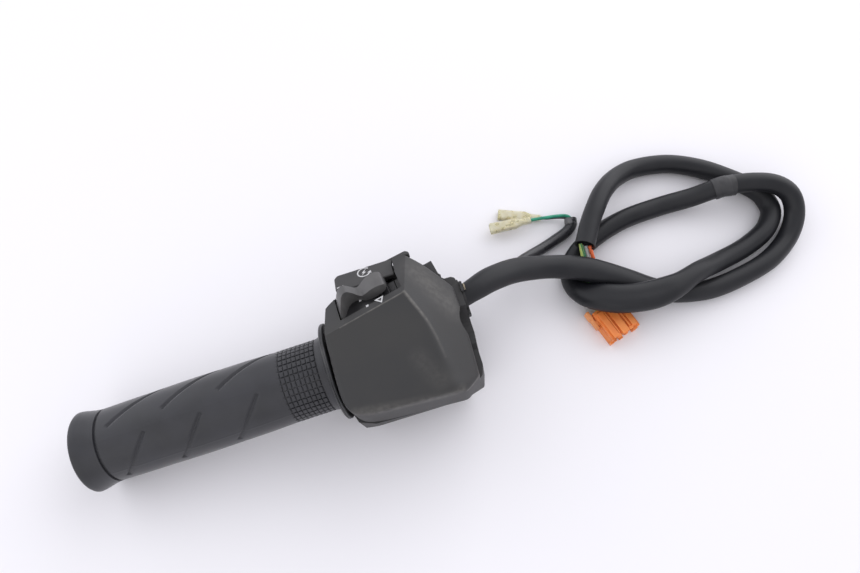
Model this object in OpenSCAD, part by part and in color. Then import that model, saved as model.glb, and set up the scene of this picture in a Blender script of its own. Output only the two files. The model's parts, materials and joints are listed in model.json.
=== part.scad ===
// Twist grip with its switch housing and wiring, lying on a table.
// The handle is drawn along X in a bar frame and then tilted onto the table by on_table().
// The wiring is drawn straight in the table frame. Units are millimetres.

/* [Handle bar] */
// radius of the handlebar that the housing clamps
bar_r = 11.1; // [10:0.05:13]
// running gap between bar and twist sleeve
sleeve_gap = 0.25; // [0.1:0.05:0.5]

/* [Grip] */
// length of the rubber grip
grip_len = 119.5; // [100:0.5:130]
// radius of the rubber at the middle
grip_r = 17.7; // [15:0.1:19]
// radius of the flared outer rim
rim_r = 19; // [17:0.1:22]
// radius of the sleeve under the rubber
sleeve_r = 13.2; // [12.5:0.1:14]
// radius of the sleeve flange beside the housing
flange_r = 23; // [20:0.1:24]
// radius of the cable drum inside the housing
drum_r = 18; // [16:0.1:20]

/* [Housing] */
// x of the outer end wall of the housing
box_x0 = 122.5; // [120:0.5:126]
// x of the inner end wall of the front shell
box_x1 = 187.5; // [180:0.5:195]
// wall thickness of both shells
wall = 2.4; // [1.8:0.1:3.5]
// outer radius of the bar saddle
saddle_r = 14; // [13:0.1:16]

/* [Wiring] */
// diameter of the main sheath
sheath_d = 10.6; // [8:0.1:12]
// diameter of the branch sheath
branch_d = 6; // [5:0.1:7]
// diameter of one lead
lead_d = 2; // [1.5:0.1:2.5]

/* [Motion] */
// slide travel of the hazard switch
hazard_travel = 4.8; // [3:0.1:6]

/* [Hidden] */
$fn = 64;
tilt = 6.7;
rest_h = 18.75;
shift_x = -93;
shift_y = -5;
sleeve_in = bar_r + sleeve_gap;
// corner where the three upper facets of the rear shell meet
apex = [162.7, 16.5, 27.5];
// frame of the switch panel and frame of the rocker plate
panel_rot = [-30.9, -5.2, 9.8];
rocker_at = [150, 30, 15];
rocker_tilt = 28;
// harness outlet in the inner end wall
outlet = [180, 16.4, -9];
outlet_turn = 15;
// plate that clamps the harness at the outlet, and its screw in y and z
plate_x = box_x1 + 0.1;
clamp_screw = [20.2, -0.9];
screw_at = [[148, -21], [175, 24]];
// main sheath route, from the housing to its open end
main_route = [
    [90.7, 12.4, 31.3], [101.2, 15.3, 32.5], [112, 19, 30], [127, 22, 23.6], [145, 20.5, 18.8],
    [160, 16, 16.8], [172, 10.3, 14.2], [184, 4.3, 9.6], [196, -2.2, 5.6], [209, -8.5, 5.4],
    [226, -11.5, 5.4], [246, -9.5, 5.4], [264, -5, 5.4], [279, 3.5, 5.5], [287.5, 14, 8.6],
    [287.7, 24, 13.8], [281, 31.5, 16.6], [269, 36.5, 16.6], [254, 39.5, 14.4], [238, 41, 8.2],
    [219, 42, 5.4], [199, 40.5, 5.4], [180, 35.5, 5.4], [166, 28.5, 5.4], [158.5, 20, 5.4],
    [157, 11, 6.6], [160, 3.6, 10.2], [166.5, -2, 14.4], [176, -6.4, 16.5], [190, -8.6, 16.8],
    [204, -7.5, 16.8], [219, -3, 14.4], [236, 1.2, 7.4], [254, 5.2, 5.4], [269, 11.2, 5.4],
    [277.7, 19.7, 5.4], [279, 27.7, 5.4], [276.5, 35.5, 5.4], [267.6, 45.2, 5.4], [253, 57.5, 5.4],
    [236, 66, 5.4], [217, 68.5, 6], [202, 64.2, 9.6], [190, 56, 14.3], [181, 46.5, 16.6],
    [174.5, 38.3, 16.8], [167.5, 27.5, 16.5]];
tape_route = [[260, 38.3, 15.28], [254, 39.5, 14.4], [249.5, 39.92, 12.66]];
branch_route = [
    [127, 25, 18.5], [134, 30.5, 12], [141, 34, 7.5], [150, 37.5, 4.2], [158, 40.5, 3.2],
    [165, 43, 3.2], [169.5, 46, 3.6], [170.5, 50, 4.4]];
cuff_route = [[169.6, 46.4, 3.68], [170.45, 49.8, 4.36]];
lead_routes = [
    [[166.3, 30, 14.6], [165.6, 20.8, 10.5], [165.4, 8, 1.8], [164, -2.5, 4], [164.8, -7.5, 4.5]],
    [[167.5, 29.3, 13.4], [167.3, 20.3, 8.5], [167.7, 8, 1.4], [167.1, -2, 4], [167.7, -6.8, 4.5]],
    [[169, 28.4, 13.4], [169.2, 20.2, 8.5], [170, 8, 1.4], [170, -1.3, 4], [170.6, -6, 4.5]],
    [[170.6, 27.4, 14.6], [171.4, 20.2, 9.5], [172.4, 8, 1.8], [173, -0.5, 4], [173.5, -5.2, 4.5]]];
spur_routes = [
    [[162.5, 42.3, 4], [169.2, 46.2, 4.4], [170.4, 49, 5], [168.5, 51.4, 6], [163.5, 52.4, 6.9],
     [157, 53.1, 7.3], [151.5, 54.1, 6.6], [146, 54.7, 6.3]],
    [[162.5, 42.3, 2.6], [169.2, 46.4, 2.8], [170.3, 49, 3.4], [168.3, 52, 3], [163.5, 54, 2.3],
     [158.5, 55.1, 2.1], [152.6, 57.2, 2.1]]];
// orange plug: rear face centre and heading
plug_at = [168.2, -4.6, 0];
plug_turn = -75;

// ---- frames and helpers ----
module on_table() translate([shift_x, shift_y, rest_h]) rotate([0, -tilt, 0]) children();

module panel() translate(apex) rotate(panel_rot) children();

module rocker_frame() translate(rocker_at) rotate([-rocker_tilt, 0, 0]) children();

module along_x() rotate([0, 90, 0]) children();

module rod_x(x0, x1, r) translate([x0, 0, 0]) along_x() cylinder(r = r, h = x1 - x0);

module box(a, b) translate(a) cube([b[0] - a[0], b[1] - a[1], b[2] - a[2]]);

// everything beyond a plane through p whose normal heads az, el
module beyond(p, az, el, w = 0)
    translate(p) rotate([0, 90 - el, az]) translate([-120, -120, -w]) cube(240);

// ---- smooth tube through route points ----
function unit(v) = v / norm(v);
function heading(p, i) =
    i == 0 ? unit(p[1] - p[0]) :
    i == len(p) - 1 ? unit(p[i] - p[i - 1]) : unit(unit(p[i + 1] - p[i]) + unit(p[i] - p[i - 1]));
function ring(c, t, r, n) =
    let (s = unit(cross(t, [0, 0, 1])), q = cross(s, t))
    [for (k = [0 : n - 1]) c + r * (cos(360 * k / n) * s + sin(360 * k / n) * q)];

module tube(p, r, n) {
    m = len(p);
    pts = [for (i = [0 : m - 1]) each ring(p[i], heading(p, i), r, n)];
    sides = [for (i = [0 : m - 2]) for (k = [0 : n - 1])
        each [[i * n + k, (i + 1) * n + k, i * n + (k + 1) % n],
              [i * n + (k + 1) % n, (i + 1) * n + k, (i + 1) * n + (k + 1) % n]]];
    caps = [[for (k = [0 : n - 1]) k], [for (k = [n - 1 : -1 : 0]) (m - 1) * n + k]];
    polyhedron(points = pts, faces = concat(sides, caps));
}

// hollow tube through route points
module pipe(p, r, r_in, n) {
    m = len(p);
    pts = concat([for (i = [0 : m - 1]) each ring(p[i], heading(p, i), r, n)],
        [for (i = [0 : m - 1]) each ring(p[i], heading(p, i), r_in, n)]);
    o = m * n;
    outer = [for (i = [0 : m - 2]) for (k = [0 : n - 1]) let (j = (k + 1) % n)
        each [[i * n + k, (i + 1) * n + k, i * n + j], [i * n + j, (i + 1) * n + k, (i + 1) * n + j]]];
    inner = [for (f = outer) [f[0] + o, f[2] + o, f[1] + o]];
    ends = [for (k = [0 : n - 1]) let (j = (k + 1) % n, e = (m - 1) * n)
        each [[k, j, o + k], [o + k, j, o + j], [e + k, o + e + k, e + j], [o + e + k, o + e + j, e + j]]];
    polyhedron(points = pts, faces = concat(outer, inner, ends));
}

// ---- housing forms ----
module rear_form(w = 0) difference() {
    linear_extrude(height = 40) offset_outline(w) rear_outline();
    beyond(apex, -125, 83, w);
    beyond(apex, 108.4, 58.7, w);
    beyond(apex, 17.7, 45, w);
    beyond([170, 0, 26.35], 1.4, 44.5, w);
    beyond([171, -9, 25.5], -1.2, 39.4, w);
}

// outline pulled in by w, made from a scaled copy so that it stays a true solid
module offset_outline(w) {
    k = w / 32;
    translate([154 * k, 3 * k, 0]) scale(1 - k) children();
}

module rear_outline() polygon([
    [122.5, -19], [123.4, -24], [126.2, -27.6], [131, -29.9], [149.1, -31.2], [174.2, -32.8],
    [184.2, -24.2], [184, -8],
    [184, 8], [185, 18.5], [179.5, 26], [173, 34], [165, 40], [158, 40.6],
    [131.5, 40], [131.5, 29.4], [127.2, 26.6], [125.4, 25], [123, 9]]);

module front_outline() polygon([
    [122.5, -21], [124.5, -26.5], [131.8, -29.4], [148.8, -30.4], [173.5, -31.6], [184.3, -23.3],
    [185.9, -18.8], [186, -13], [187.5, 0], [187.5, 24], [186.6, 27.4], [185, 28.4], [181.8, 28.5],
    [179.8, 30.5], [178.4, 38], [174.6, 37.2], [169.5, 38], [158, 40], [132, 39], [131.5, 30.4],
    [127, 28.4], [124.6, 26.4], [122.5, 9]]);

module front_form(w = 0) difference() {
    translate([0, 0, -48]) linear_extrude(height = 48) offset_outline(w) front_outline();
    // underside that rests on the table
    beyond([150, 0, -(rest_h + 150 * sin(tilt)) / cos(tilt)], 180, -(90 - tilt), w);
    beyond([150, -31.5, 0], -90, -16.7, w);
    beyond([150, 40, -12], 90, -37, w);
    beyond([187.5, 0, -18], 0, -25, w);
    beyond([122.5, 0, -24], 180, -37, w);
}

module bar_space() {
    rod_x(100, 200, bar_r);
    rod_x(119, 126, sleeve_r + 0.4);
    rod_x(box_x0 + wall, 140.4, drum_r + 0.7);
}

// ---- housing nodes ----
module rear_shell() color([0.2, 0.2, 0.2]) on_table() difference() {
    union() {
        difference() {
            rear_form();
            rear_form(wall);
        }
        intersection() {
            rear_form();
            union() {
                rod_x(140.5, 184, saddle_r);
                box([121, -30, 0], [box_x0 + wall, 31, 40]);
                box([140.5, -34, 0], [142.6, 16, 40]);
                box([166, -34, 0], [168, 24, 40]);
                box([181.6, -34, 0], [186, 30, 40]);
                panel() box([-33, 2, -8], [1.5, 22.5, 3]);
            }
        }
        intersection() {
            rear_form();
            for (s = screw_at) translate([s[0], s[1], 0]) cylinder(r = 4, h = 40);
        }
    }
    bar_space();
    for (s = screw_at) translate([s[0], s[1], -1]) cylinder(r = 2, h = 7.4);
    panel() box([-31.2, 4, -5.2], [-0.3, 20.6, 20]);
    panel() box([-24.4, 6, -14.4], [-2.6, 18, -5]);
    rocker_frame() {
        box([-19.2, -1, -5.2], [11, 22, 20]);
        box([10.9, 12, -5.2], [20.6, 22, 20]);
        box([-9.4, 0.8, -14.4], [9.4, 13.2, -5]);
    }
    translate(outlet) rotate([0, 90, outlet_turn]) cylinder(r = 7.2, h = 14);
}

module front_shell() color([0.17, 0.17, 0.17]) on_table() difference() {
    union() {
        difference() {
            front_form();
            front_form(wall);
        }
        intersection() {
            front_form();
            union() {
                rod_x(140.5, box_x1, saddle_r);
                box([121, -30, -40], [box_x0 + wall, 31, 0]);
                box([140.5, -32, -48], [142.6, 26, 0]);
                box([160, -32, -48], [162, 12, 0]);
                box([183.6, -20, -40], [188, 34, 0]);
                for (s = screw_at) translate([s[0], s[1], -40]) cylinder(r = 5.6, h = 40);
                for (g = [-1, 1]) translate([133 + g * 2.5, g * 16.3, -40]) cylinder(r = 6.2, h = 20);
                translate([165, 0, -19]) cylinder(r = 4.4, h = 8);
            }
        }
    }
    bar_space();
    for (s = screw_at) {
        translate([s[0], s[1], -30]) cylinder(r = 2.3, h = 31);
        translate([s[0], s[1], -50]) cylinder(r = 4.2, h = 32);
    }
    for (g = [-1, 1]) translate([133 + g * 2.5, g * 16.3, -50]) cylinder(r = 4.6, h = 36);
    translate([165, 0, -18]) cylinder(r = 2.5, h = 18);
    translate(outlet) rotate([0, 90, outlet_turn]) {
        cylinder(r = 7, h = 6);
        cylinder(r = 5.6, h = 14);
    }
    // lowered corner outside the rim of the rear shell
    translate([185, 18.5, -4]) rotate([0, 0, 36.3]) box([0.3, 3.5, 0], [12, 11.5, 5]);
    translate([0, clamp_screw[0], clamp_screw[1]]) rod_x(184, 189, 0.85);
}

module shell_screws() color([0.6, 0.6, 0.62]) on_table() for (s = screw_at) translate([s[0], s[1], 0]) {
    difference() {
        translate([0, 0, -20.8]) cylinder(r = 3.8, h = 2.8);
        translate([0, 0, -21]) box([-0.5, -2.6, 0], [0.5, 2.6, 1.6]);
        translate([0, 0, -21]) box([-2.6, -0.5, 0], [2.6, 0.5, 1.6]);
    }
    translate([0, 0, -18.1]) cylinder(r = 1.95, h = 24);
}

module locating_pin() color([0.6, 0.6, 0.62]) on_table()
    translate([165, 0, -17.5]) cylinder(r = 2.5, h = 6.2);

module throttle_cable_guides() color([0.15, 0.15, 0.15]) on_table()
    for (g = [-1, 1]) translate([133 + g * 2.5, g * 16.3, 0]) difference() {
        union() {
            translate([0, 0, -31]) cylinder(r = 4.55, h = 13);
            translate([0, 0, -22]) cylinder(r = 4.55, h = 3);
        }
        translate([0, 0, -32]) cylinder(r = 3.3, h = 11);
        translate([0, 0, -32]) cylinder(r = 1, h = 16);
    }

// ---- twist grip ----
module rubber_grip() color([0.13, 0.13, 0.14]) on_table() along_x() difference() {
    rotate_extrude() polygon(concat(
        [[sleeve_r, grip_len], [sleeve_r, 2], [sleeve_in, 2], [sleeve_in, 0.4], [12, 0]],
        [[rim_r - 0.8, 0], [rim_r, 0.9], [rim_r - 0.2, 2.4], [rim_r - 0.9, 5], [rim_r - 1.5, 8],
         [17.2, 11], [16.2, 11.2], [16.2, 12.4], [17.1, 12.6], [17.4, 30], [grip_r, 55],
         [17.5, 80], [17.1, 97.4]],
        [for (i = [0 : 7]) each [[17.1, 97.9 + 2.25 * i], [16.4, 98.1 + 2.25 * i],
            [16.4, 98.7 + 2.25 * i], [17.1, 98.9 + 2.25 * i]]],
        [[16.9, 115.2], [17.6, 117.4], [18.2, grip_len]]));
    for (i = [0 : 2]) for (k = [0 : 5])
        rotate([0, 0, 60 * k + 25]) translate([17.3, 0, 30 + 27 * i + (k % 2) * 13])
            rotate([35, 0, 0]) translate([-0.9, -1, -9]) cube([4, 2, 18]);
}

module throttle_tube() color([0.1, 0.1, 0.1]) on_table() along_x() difference() {
    rotate_extrude() polygon([
        [sleeve_in, 2.2], [sleeve_r, 2.2], [sleeve_r, grip_len], [flange_r - 0.4, grip_len],
        [flange_r, grip_len + 0.5], [flange_r, grip_len + 1.8], [flange_r - 0.4, grip_len + 2.2],
        [sleeve_r, grip_len + 2.2], [sleeve_r, 126], [drum_r, 126], [drum_r, 128.8], [16, 129.4],
        [16, 131.6], [drum_r, 132.2], [drum_r, 133.8], [16, 134.4], [16, 136.6],
        [drum_r, 137.2], [drum_r, 139.4], [sleeve_in, 139.4]]);
    // pockets for the cable nipples
    rotate([0, 0, 60]) translate([15.8, 0, 127.3]) cylinder(r = 2.2, h = 6);
    rotate([0, 0, -60]) translate([15.8, 0, 132.5]) cylinder(r = 2.2, h = 6);
}

// ---- start and stop switch ----
module start_stop_rocker() color([0.14, 0.14, 0.14]) on_table() rocker_frame() difference() {
    union() {
        translate([0, 0, -3]) linear_extrude(height = 3) polygon([
            [-18.3, 3.4], [-18.2, 12], [-16.6, 14], [7.8, 13.6], [14.4, 15.4], [17.8, 16.3],
            [19.4, 15], [19.6, 12.7], [10.4, 12.7], [10.4, 1.8], [-16.8, 1.8]]);
        box([-3, 3.4, -10], [3, 10.6, -2]);
    }
    translate([0, 1, -7]) rotate([-90, 0, 0]) cylinder(r = 1.3, h = 14);
}

module rocker_pivot_pin() color([0.65, 0.65, 0.67]) on_table() rocker_frame()
    translate([0, 1.9, -7]) rotate([-90, 0, 0]) cylinder(r = 1.25, h = 10.2);

module start_stop_switch_body() color([0.1, 0.1, 0.1]) on_table() rocker_frame() difference() {
    box([-9, 1.2, -14], [9, 12.8, -5]);
    box([-4.6, 2.8, -12], [4.6, 11.2, 0]);
    translate([0, 1.8, -7]) rotate([-90, 0, 0]) cylinder(r = 1.3, h = 10.4);
    for (s = [-1, 1]) translate([6.8 * s, 7, -13]) cylinder(r = 0.9, h = 10);
}

module start_stop_contacts() color([0.75, 0.6, 0.3]) on_table() rocker_frame() {
    for (s = [-1, 1]) box([3.4 * s - 0.8, 5, -12], [3.4 * s + 0.8, 9, -11.2]);
    for (s = [-1, 1]) box([2.4 * s - 0.5, 6, -17], [2.4 * s + 0.5, 8, -14]);
}

// ---- hazard switch ----
module hazard_slider_base() color([0.05, 0.05, 0.05]) on_table() panel() {
    box([-30.8, 4.8, -4.6], [-6, 19.2, -2]);
    translate([-17, 12, -8.6]) cylinder(r = 1.5, h = 4.2);
}

module hazard_thumb_pad() color([0.3, 0.3, 0.31]) on_table() panel() intersection() {
    translate([0, 30, 0]) rotate([90, 0, 0]) linear_extrude(height = 30) polygon([
        [-30.6, -2], [-30.4, -0.5], [-28.6, 3], [-26.5, 5.2], [-23.4, 5.4], [-21, 2.8], [-19, 1],
        [-17, 0.6], [-14, 1], [-10, 2.6], [-7.6, 4], [-6.4, 3.4], [-6.2, 0.5], [-9, -1], [-17, -1.2],
        [-20, -2]]);
    translate([0, 0, -3]) linear_extrude(height = 10) polygon([
        [-30.8, 5.6], [-27.5, 9], [-25, 12.6], [-20.6, 13.6], [-17, 9.8], [-12, 8.2], [-6.2, 8.2],
        [-6, 18.6], [-13, 19], [-19, 18.6], [-22, 19], [-26.5, 19], [-30.8, 16]]);
}

module hazard_switch_body() color([0.1, 0.1, 0.1]) on_table() panel() difference() {
    box([-24, 6.4, -14], [-3, 17.6, -5.2]);
    box([-19.2, 10, -10], [-9.9, 14, 0]);
    for (u = [-22, -5]) translate([u, 12, -13]) cylinder(r = 0.9, h = 10);
}

module hazard_contacts() color([0.75, 0.6, 0.3]) on_table() panel() {
    for (v = [8.4, 14.6]) box([-17, v, -17], [-16, v + 1.4, -14]);
    for (v = [10.6, 12.6]) box([-17.6, v, -10], [-11.4, v + 0.8, -9.4]);
}

module switch_body_screws() color([0.6, 0.6, 0.62]) on_table() {
    rocker_frame() for (s = [-1, 1]) translate([6.8 * s, 7, 0]) {
        translate([0, 0, -12.5]) cylinder(r = 0.85, h = 8);
        translate([0, 0, -5]) cylinder(r = 1.6, h = 0.7);
    }
    panel() for (u = [-22, -5]) translate([u, 12, 0]) translate([0, 0, -12.5]) cylinder(r = 0.85, h = 7.4);
}

// ---- harness outlet ----
module outlet_frame() on_table() translate(outlet) rotate([0, 90, outlet_turn]) children();

module harness_grommet() color([0.08, 0.08, 0.08]) outlet_frame() difference() {
    translate([0, 0, 2.6]) cylinder(r = 6.9, h = 3.2);
    cylinder(r = 5.45, h = 14);
}

// thin plate on the end wall, with a tail beside the bar passage and a lug for its screw
module harness_clamp() color([0.09, 0.09, 0.09]) on_table() difference() {
    union() {
        translate([plate_x, 18.6, outlet[2]]) along_x() cylinder(r = 7.6, h = 1.3);
        box([plate_x, 8.4, -12], [plate_x + 1.3, 15, -7.6]);
        box([plate_x, 17.8, -8], [plate_x + 1.3, 22.6, 1.3]);
    }
    translate(outlet) rotate([0, 90, outlet_turn]) cylinder(r = 5.5, h = 20);
    translate([plate_x - 1, clamp_screw[0], clamp_screw[1]]) along_x() cylinder(r = 0.9, h = 4);
}

module harness_clamp_screw() color([0.8, 0.7, 0.45]) on_table()
    translate([0, clamp_screw[0], clamp_screw[1]]) {
        rod_x(184.2, plate_x + 1.5, 0.8);
        rod_x(plate_x + 1.35, plate_x + 2.3, 1.7);
    }

// ---- wiring, straight in the table frame ----
module harness_sheath() color([0.16, 0.16, 0.17]) tube(main_route, sheath_d / 2, 10);

module tape_band() color([0.1, 0.1, 0.1]) pipe(tape_route, sheath_d / 2 + 0.7, sheath_d / 2 + 0.05, 10);

module branch_sheath() color([0.1, 0.1, 0.11]) tube(branch_route, branch_d / 2, 8);

module branch_end_sleeve() color([0.6, 0.6, 0.58])
    pipe(cuff_route, branch_d / 2 + 0.6, branch_d / 2 + 0.05, 8);

module lead_yellow_green() color([0.6, 0.75, 0.2]) tube(lead_routes[0], lead_d / 2, 8);

module lead_green_red() color([0.1, 0.45, 0.25]) tube(lead_routes[1], lead_d / 2, 8);

module lead_white() color([0.75, 0.75, 0.75]) tube(lead_routes[2], lead_d / 2, 8);

module lead_orange() color([0.95, 0.3, 0.12]) tube(lead_routes[3], lead_d / 2, 8);

module spur_lead_green() color([0.05, 0.42, 0.28]) tube(spur_routes[0], 0.9, 8);

module spur_lead_black() color([0.05, 0.05, 0.05]) tube(spur_routes[1], 0.9, 8);

module plug_frame() translate(plug_at) rotate([0, 0, plug_turn]) children();

module main_plug() color([0.85, 0.45, 0.15]) plug_frame() difference() {
    union() {
        box([0, -8.5, 0.1], [18, 8.5, 8.6]);
        for (y = [-6.5, -2.2, 2.2]) box([1.5, y, 8.5], [17, y + 3.4, 9.5]);
    }
    // mating mouth and the rear lead holes
    box([11, -7.2, 1.4], [19, 7.2, 7.4]);
    for (i = [0 : 3]) translate([-1, 5 - 3 * i, 4.5]) along_x() cylinder(r = 1.15, h = 13);
}

module plug_latch() color([0.9, 0.5, 0.2]) plug_frame() {
    box([-2.5, -11, 2], [8, -9.3, 7]);
    box([4, -9.3, 3], [6.5, -8.5, 6]);
}

module plug_terminals() color([0.8, 0.7, 0.4]) plug_frame()
    for (i = [0 : 3]) box([10.6, 4.4 - 3 * i, 4], [16.5, 5.6 - 3 * i, 5]);

module sleeve_frames() {
    translate([155.6, 56, 0.2]) rotate([0, 0, 158]) children(0);
    translate([148.5, 54.5, 4.3]) rotate([0, 0, 175.5]) rotate([0, 3, 0]) children(1);
}

module sleeve_shape(len, w, h) difference() {
    union() {
        box([0, -w * 0.3, 0.4], [7, w * 0.3, h - 0.4]);
        box([6.5, -w / 2, 0], [len, w / 2, h]);
    }
    box([-1, -w * 0.3 + 0.7, 1.1], [8, w * 0.3 - 0.7, h - 1.1]);
    box([7.4, -w / 2 + 0.8, 0.8], [len + 1, w / 2 - 0.8, h - 0.8]);
}

module spade_sleeves() color([0.85, 0.82, 0.6]) sleeve_frames() {
    sleeve_shape(24, 5.8, 3.8);
    sleeve_shape(23, 5.8, 4.2);
}

module spade_tab(len) {
    box([1.5, -1, 1.8], [8, 1, 2.6]);
    box([8, -2.4, 1.8], [len - 2, 2.4, 2.6]);
}

module spade_terminals() color([0.8, 0.68, 0.4]) sleeve_frames() {
    spade_tab(24);
    spade_tab(23);
}

rear_shell();
front_shell();
shell_screws();
locating_pin();
throttle_cable_guides();
rubber_grip();
throttle_tube();
start_stop_rocker();
rocker_pivot_pin();
start_stop_switch_body();
start_stop_contacts();
hazard_slider_base();
hazard_thumb_pad();
hazard_switch_body();
hazard_contacts();
switch_body_screws();
harness_grommet();
harness_clamp();
harness_clamp_screw();
harness_sheath();
tape_band();
branch_sheath();
branch_end_sleeve();
lead_yellow_green();
lead_green_red();
lead_white();
lead_orange();
spur_lead_green();
spur_lead_black();
main_plug();
plug_latch();
plug_terminals();
spade_sleeves();
spade_terminals();
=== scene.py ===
"""Twist grip with its switch housing and wiring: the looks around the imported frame.

Meshes are modelled in millimetres in a local frame (bar, panel, rocker, plug or table) and are
turned into metres in the row frame by make().
"""
import json
import math

import bmesh
import bpy
from mathutils import Euler, Matrix, Vector, noise


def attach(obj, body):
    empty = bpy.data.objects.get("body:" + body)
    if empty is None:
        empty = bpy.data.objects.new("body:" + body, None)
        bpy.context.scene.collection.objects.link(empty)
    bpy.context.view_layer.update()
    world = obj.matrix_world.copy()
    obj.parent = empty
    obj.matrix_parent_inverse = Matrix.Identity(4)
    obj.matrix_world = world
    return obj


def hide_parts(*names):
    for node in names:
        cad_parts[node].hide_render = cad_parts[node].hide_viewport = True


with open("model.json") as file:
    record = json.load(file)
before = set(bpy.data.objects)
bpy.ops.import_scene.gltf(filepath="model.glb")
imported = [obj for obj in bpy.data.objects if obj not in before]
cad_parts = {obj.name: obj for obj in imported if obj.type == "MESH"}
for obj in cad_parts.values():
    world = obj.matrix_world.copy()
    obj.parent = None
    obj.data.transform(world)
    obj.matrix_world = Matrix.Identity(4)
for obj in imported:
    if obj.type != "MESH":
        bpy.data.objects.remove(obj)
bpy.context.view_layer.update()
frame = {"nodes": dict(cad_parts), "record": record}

# ---- local frames, in millimetres ----
TILT = math.radians(6.7)
BAR = Matrix.Translation((-93, -5, 18.75)) @ Matrix.Rotation(-TILT, 4, "Y")
APEX = Vector((162.7, 16.5, 27.5))
PANEL_IN_BAR = (Matrix.Translation(APEX)
                @ Euler([math.radians(a) for a in (-30.9, -5.2, 9.8)], "XYZ").to_matrix().to_4x4())
ROCKER_IN_BAR = Matrix.Translation((150, 30, 15)) @ Matrix.Rotation(math.radians(-28), 4, "X")
OUTLET_IN_BAR = (Matrix.Translation((180, 16.4, -9)) @ Matrix.Rotation(math.radians(15), 4, "Z")
                 @ Matrix.Rotation(math.radians(90), 4, "Y"))
PANEL = BAR @ PANEL_IN_BAR
ROCKER = BAR @ ROCKER_IN_BAR
PLUG = Matrix.Translation((168.2, -4.6, 0)) @ Matrix.Rotation(math.radians(-75), 4, "Z")
TABLE = Matrix.Identity(4)
ALONG_X = Matrix.Rotation(math.radians(90), 4, "Y")
METRES = Matrix.Scale(0.001, 4)

# ---- routes of the wiring, as in the CAD, in millimetres ----
MAIN_ROUTE = [
    (90.7, 12.4, 31.3), (101.2, 15.3, 32.5), (112, 19, 30), (127, 22, 23.6), (145, 20.5, 18.8),
    (160, 16, 16.8), (172, 10.3, 14.2), (184, 4.3, 9.6), (196, -2.2, 5.6), (209, -8.5, 5.4),
    (226, -11.5, 5.4), (246, -9.5, 5.4), (264, -5, 5.4), (279, 3.5, 5.5), (287.5, 14, 8.6),
    (287.7, 24, 13.8), (281, 31.5, 16.6), (269, 36.5, 16.6), (254, 39.5, 14.4), (238, 41, 8.2),
    (219, 42, 5.4), (199, 40.5, 5.4), (180, 35.5, 5.4), (166, 28.5, 5.4), (158.5, 20, 5.4),
    (157, 11, 6.6), (160, 3.6, 10.2), (166.5, -2, 14.4), (176, -6.4, 16.5), (190, -8.6, 16.8),
    (204, -7.5, 16.8), (219, -3, 14.4), (236, 1.2, 7.4), (254, 5.2, 5.4), (269, 11.2, 5.4),
    (277.7, 19.7, 5.4), (279, 27.7, 5.4), (276.5, 35.5, 5.4), (267.6, 45.2, 5.4), (253, 57.5, 5.4),
    (236, 66, 5.4), (217, 68.5, 6), (202, 64.2, 9.6), (190, 56, 14.3), (181, 46.5, 16.6),
    (174.5, 38.3, 16.8), (167.5, 27.5, 16.5)]
BRANCH_ROUTE = [
    (127, 25, 18.5), (134, 30.5, 12), (141, 34, 7.5), (150, 37.5, 4.2), (158, 40.5, 3.2),
    (165, 43, 3.2), (169.5, 46, 3.6), (170.5, 50, 4.4)]
LEAD_ROUTES = {
    "lead_yellow_green": [(166.3, 30, 14.6), (165.6, 20.8, 10.5), (165.4, 8, 1.8), (164, -2.5, 4),
                          (164.8, -7.5, 4.5)],
    "lead_green_red": [(167.5, 29.3, 13.4), (167.3, 20.3, 8.5), (167.7, 8, 1.4), (167.1, -2, 4),
                       (167.7, -6.8, 4.5)],
    "lead_white": [(169, 28.4, 13.4), (169.2, 20.2, 8.5), (170, 8, 1.4), (170, -1.3, 4),
                   (170.6, -6, 4.5)],
    "lead_orange": [(170.6, 27.4, 14.6), (171.4, 20.2, 9.5), (172.4, 8, 1.8), (173, -0.5, 4),
                    (173.5, -5.2, 4.5)]}
SPUR_ROUTES = {
    "spur_lead_green": [(162.5, 42.3, 4), (169.2, 46.2, 4.4), (170.4, 49, 5), (168.5, 51.4, 6),
                        (163.5, 52.4, 6.9), (157, 53.1, 7.3), (151.5, 54.1, 6.6), (146, 54.7, 6.3)],
    "spur_lead_black": [(162.5, 42.3, 2.6), (169.2, 46.4, 2.8), (170.3, 49, 3.4), (168.3, 52, 3),
                        (163.5, 54, 2.3), (158.5, 55.1, 2.1), (152.6, 57.2, 2.1)]}
TAPE_ROUTE = [(260, 38.3, 15.28), (254, 39.5, 14.4), (249.5, 39.92, 12.66)]
CUFF_ROUTE = [(169.6, 46.4, 3.68), (170.45, 49.8, 4.36)]
SHEATH_R, BRANCH_R, LEAD_R, SPUR_R = 5.3, 3.0, 1.0, 0.9


# ---- camera, floor and light ----
def camera():
    cam = bpy.data.cameras.new("camera")
    cam.sensor_width = 36.0
    cam.lens = 28.68
    cam.clip_start = 0.01
    o = bpy.data.objects.new("camera", cam)
    bpy.context.scene.collection.objects.link(o)
    el, az = math.radians(68.0), math.radians(-17.0)
    right = Vector((math.cos(az), math.sin(az), 0.0))
    back = Vector((math.sin(az) * math.cos(el), -math.cos(az) * math.cos(el), math.sin(el)))
    up = back.cross(right)
    m = Matrix((right, up, back)).transposed().to_4x4()
    m.translation = Vector((0.04396, -0.09721, 0.34336))
    o.matrix_world = m
    bpy.context.scene.camera = o


def area_light(name, at, size, power, colour):
    """A square light that looks at the middle of the object."""
    lamp = bpy.data.lights.new(name, "AREA")
    lamp.size = size
    lamp.energy = power
    lamp.color = colour
    o = bpy.data.objects.new(name, lamp)
    bpy.context.scene.collection.objects.link(o)
    o.location = at
    o.rotation_euler = (Vector((0.06, 0.01, 0.0)) - Vector(at)).to_track_quat("-Z", "Y").to_euler()


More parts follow.
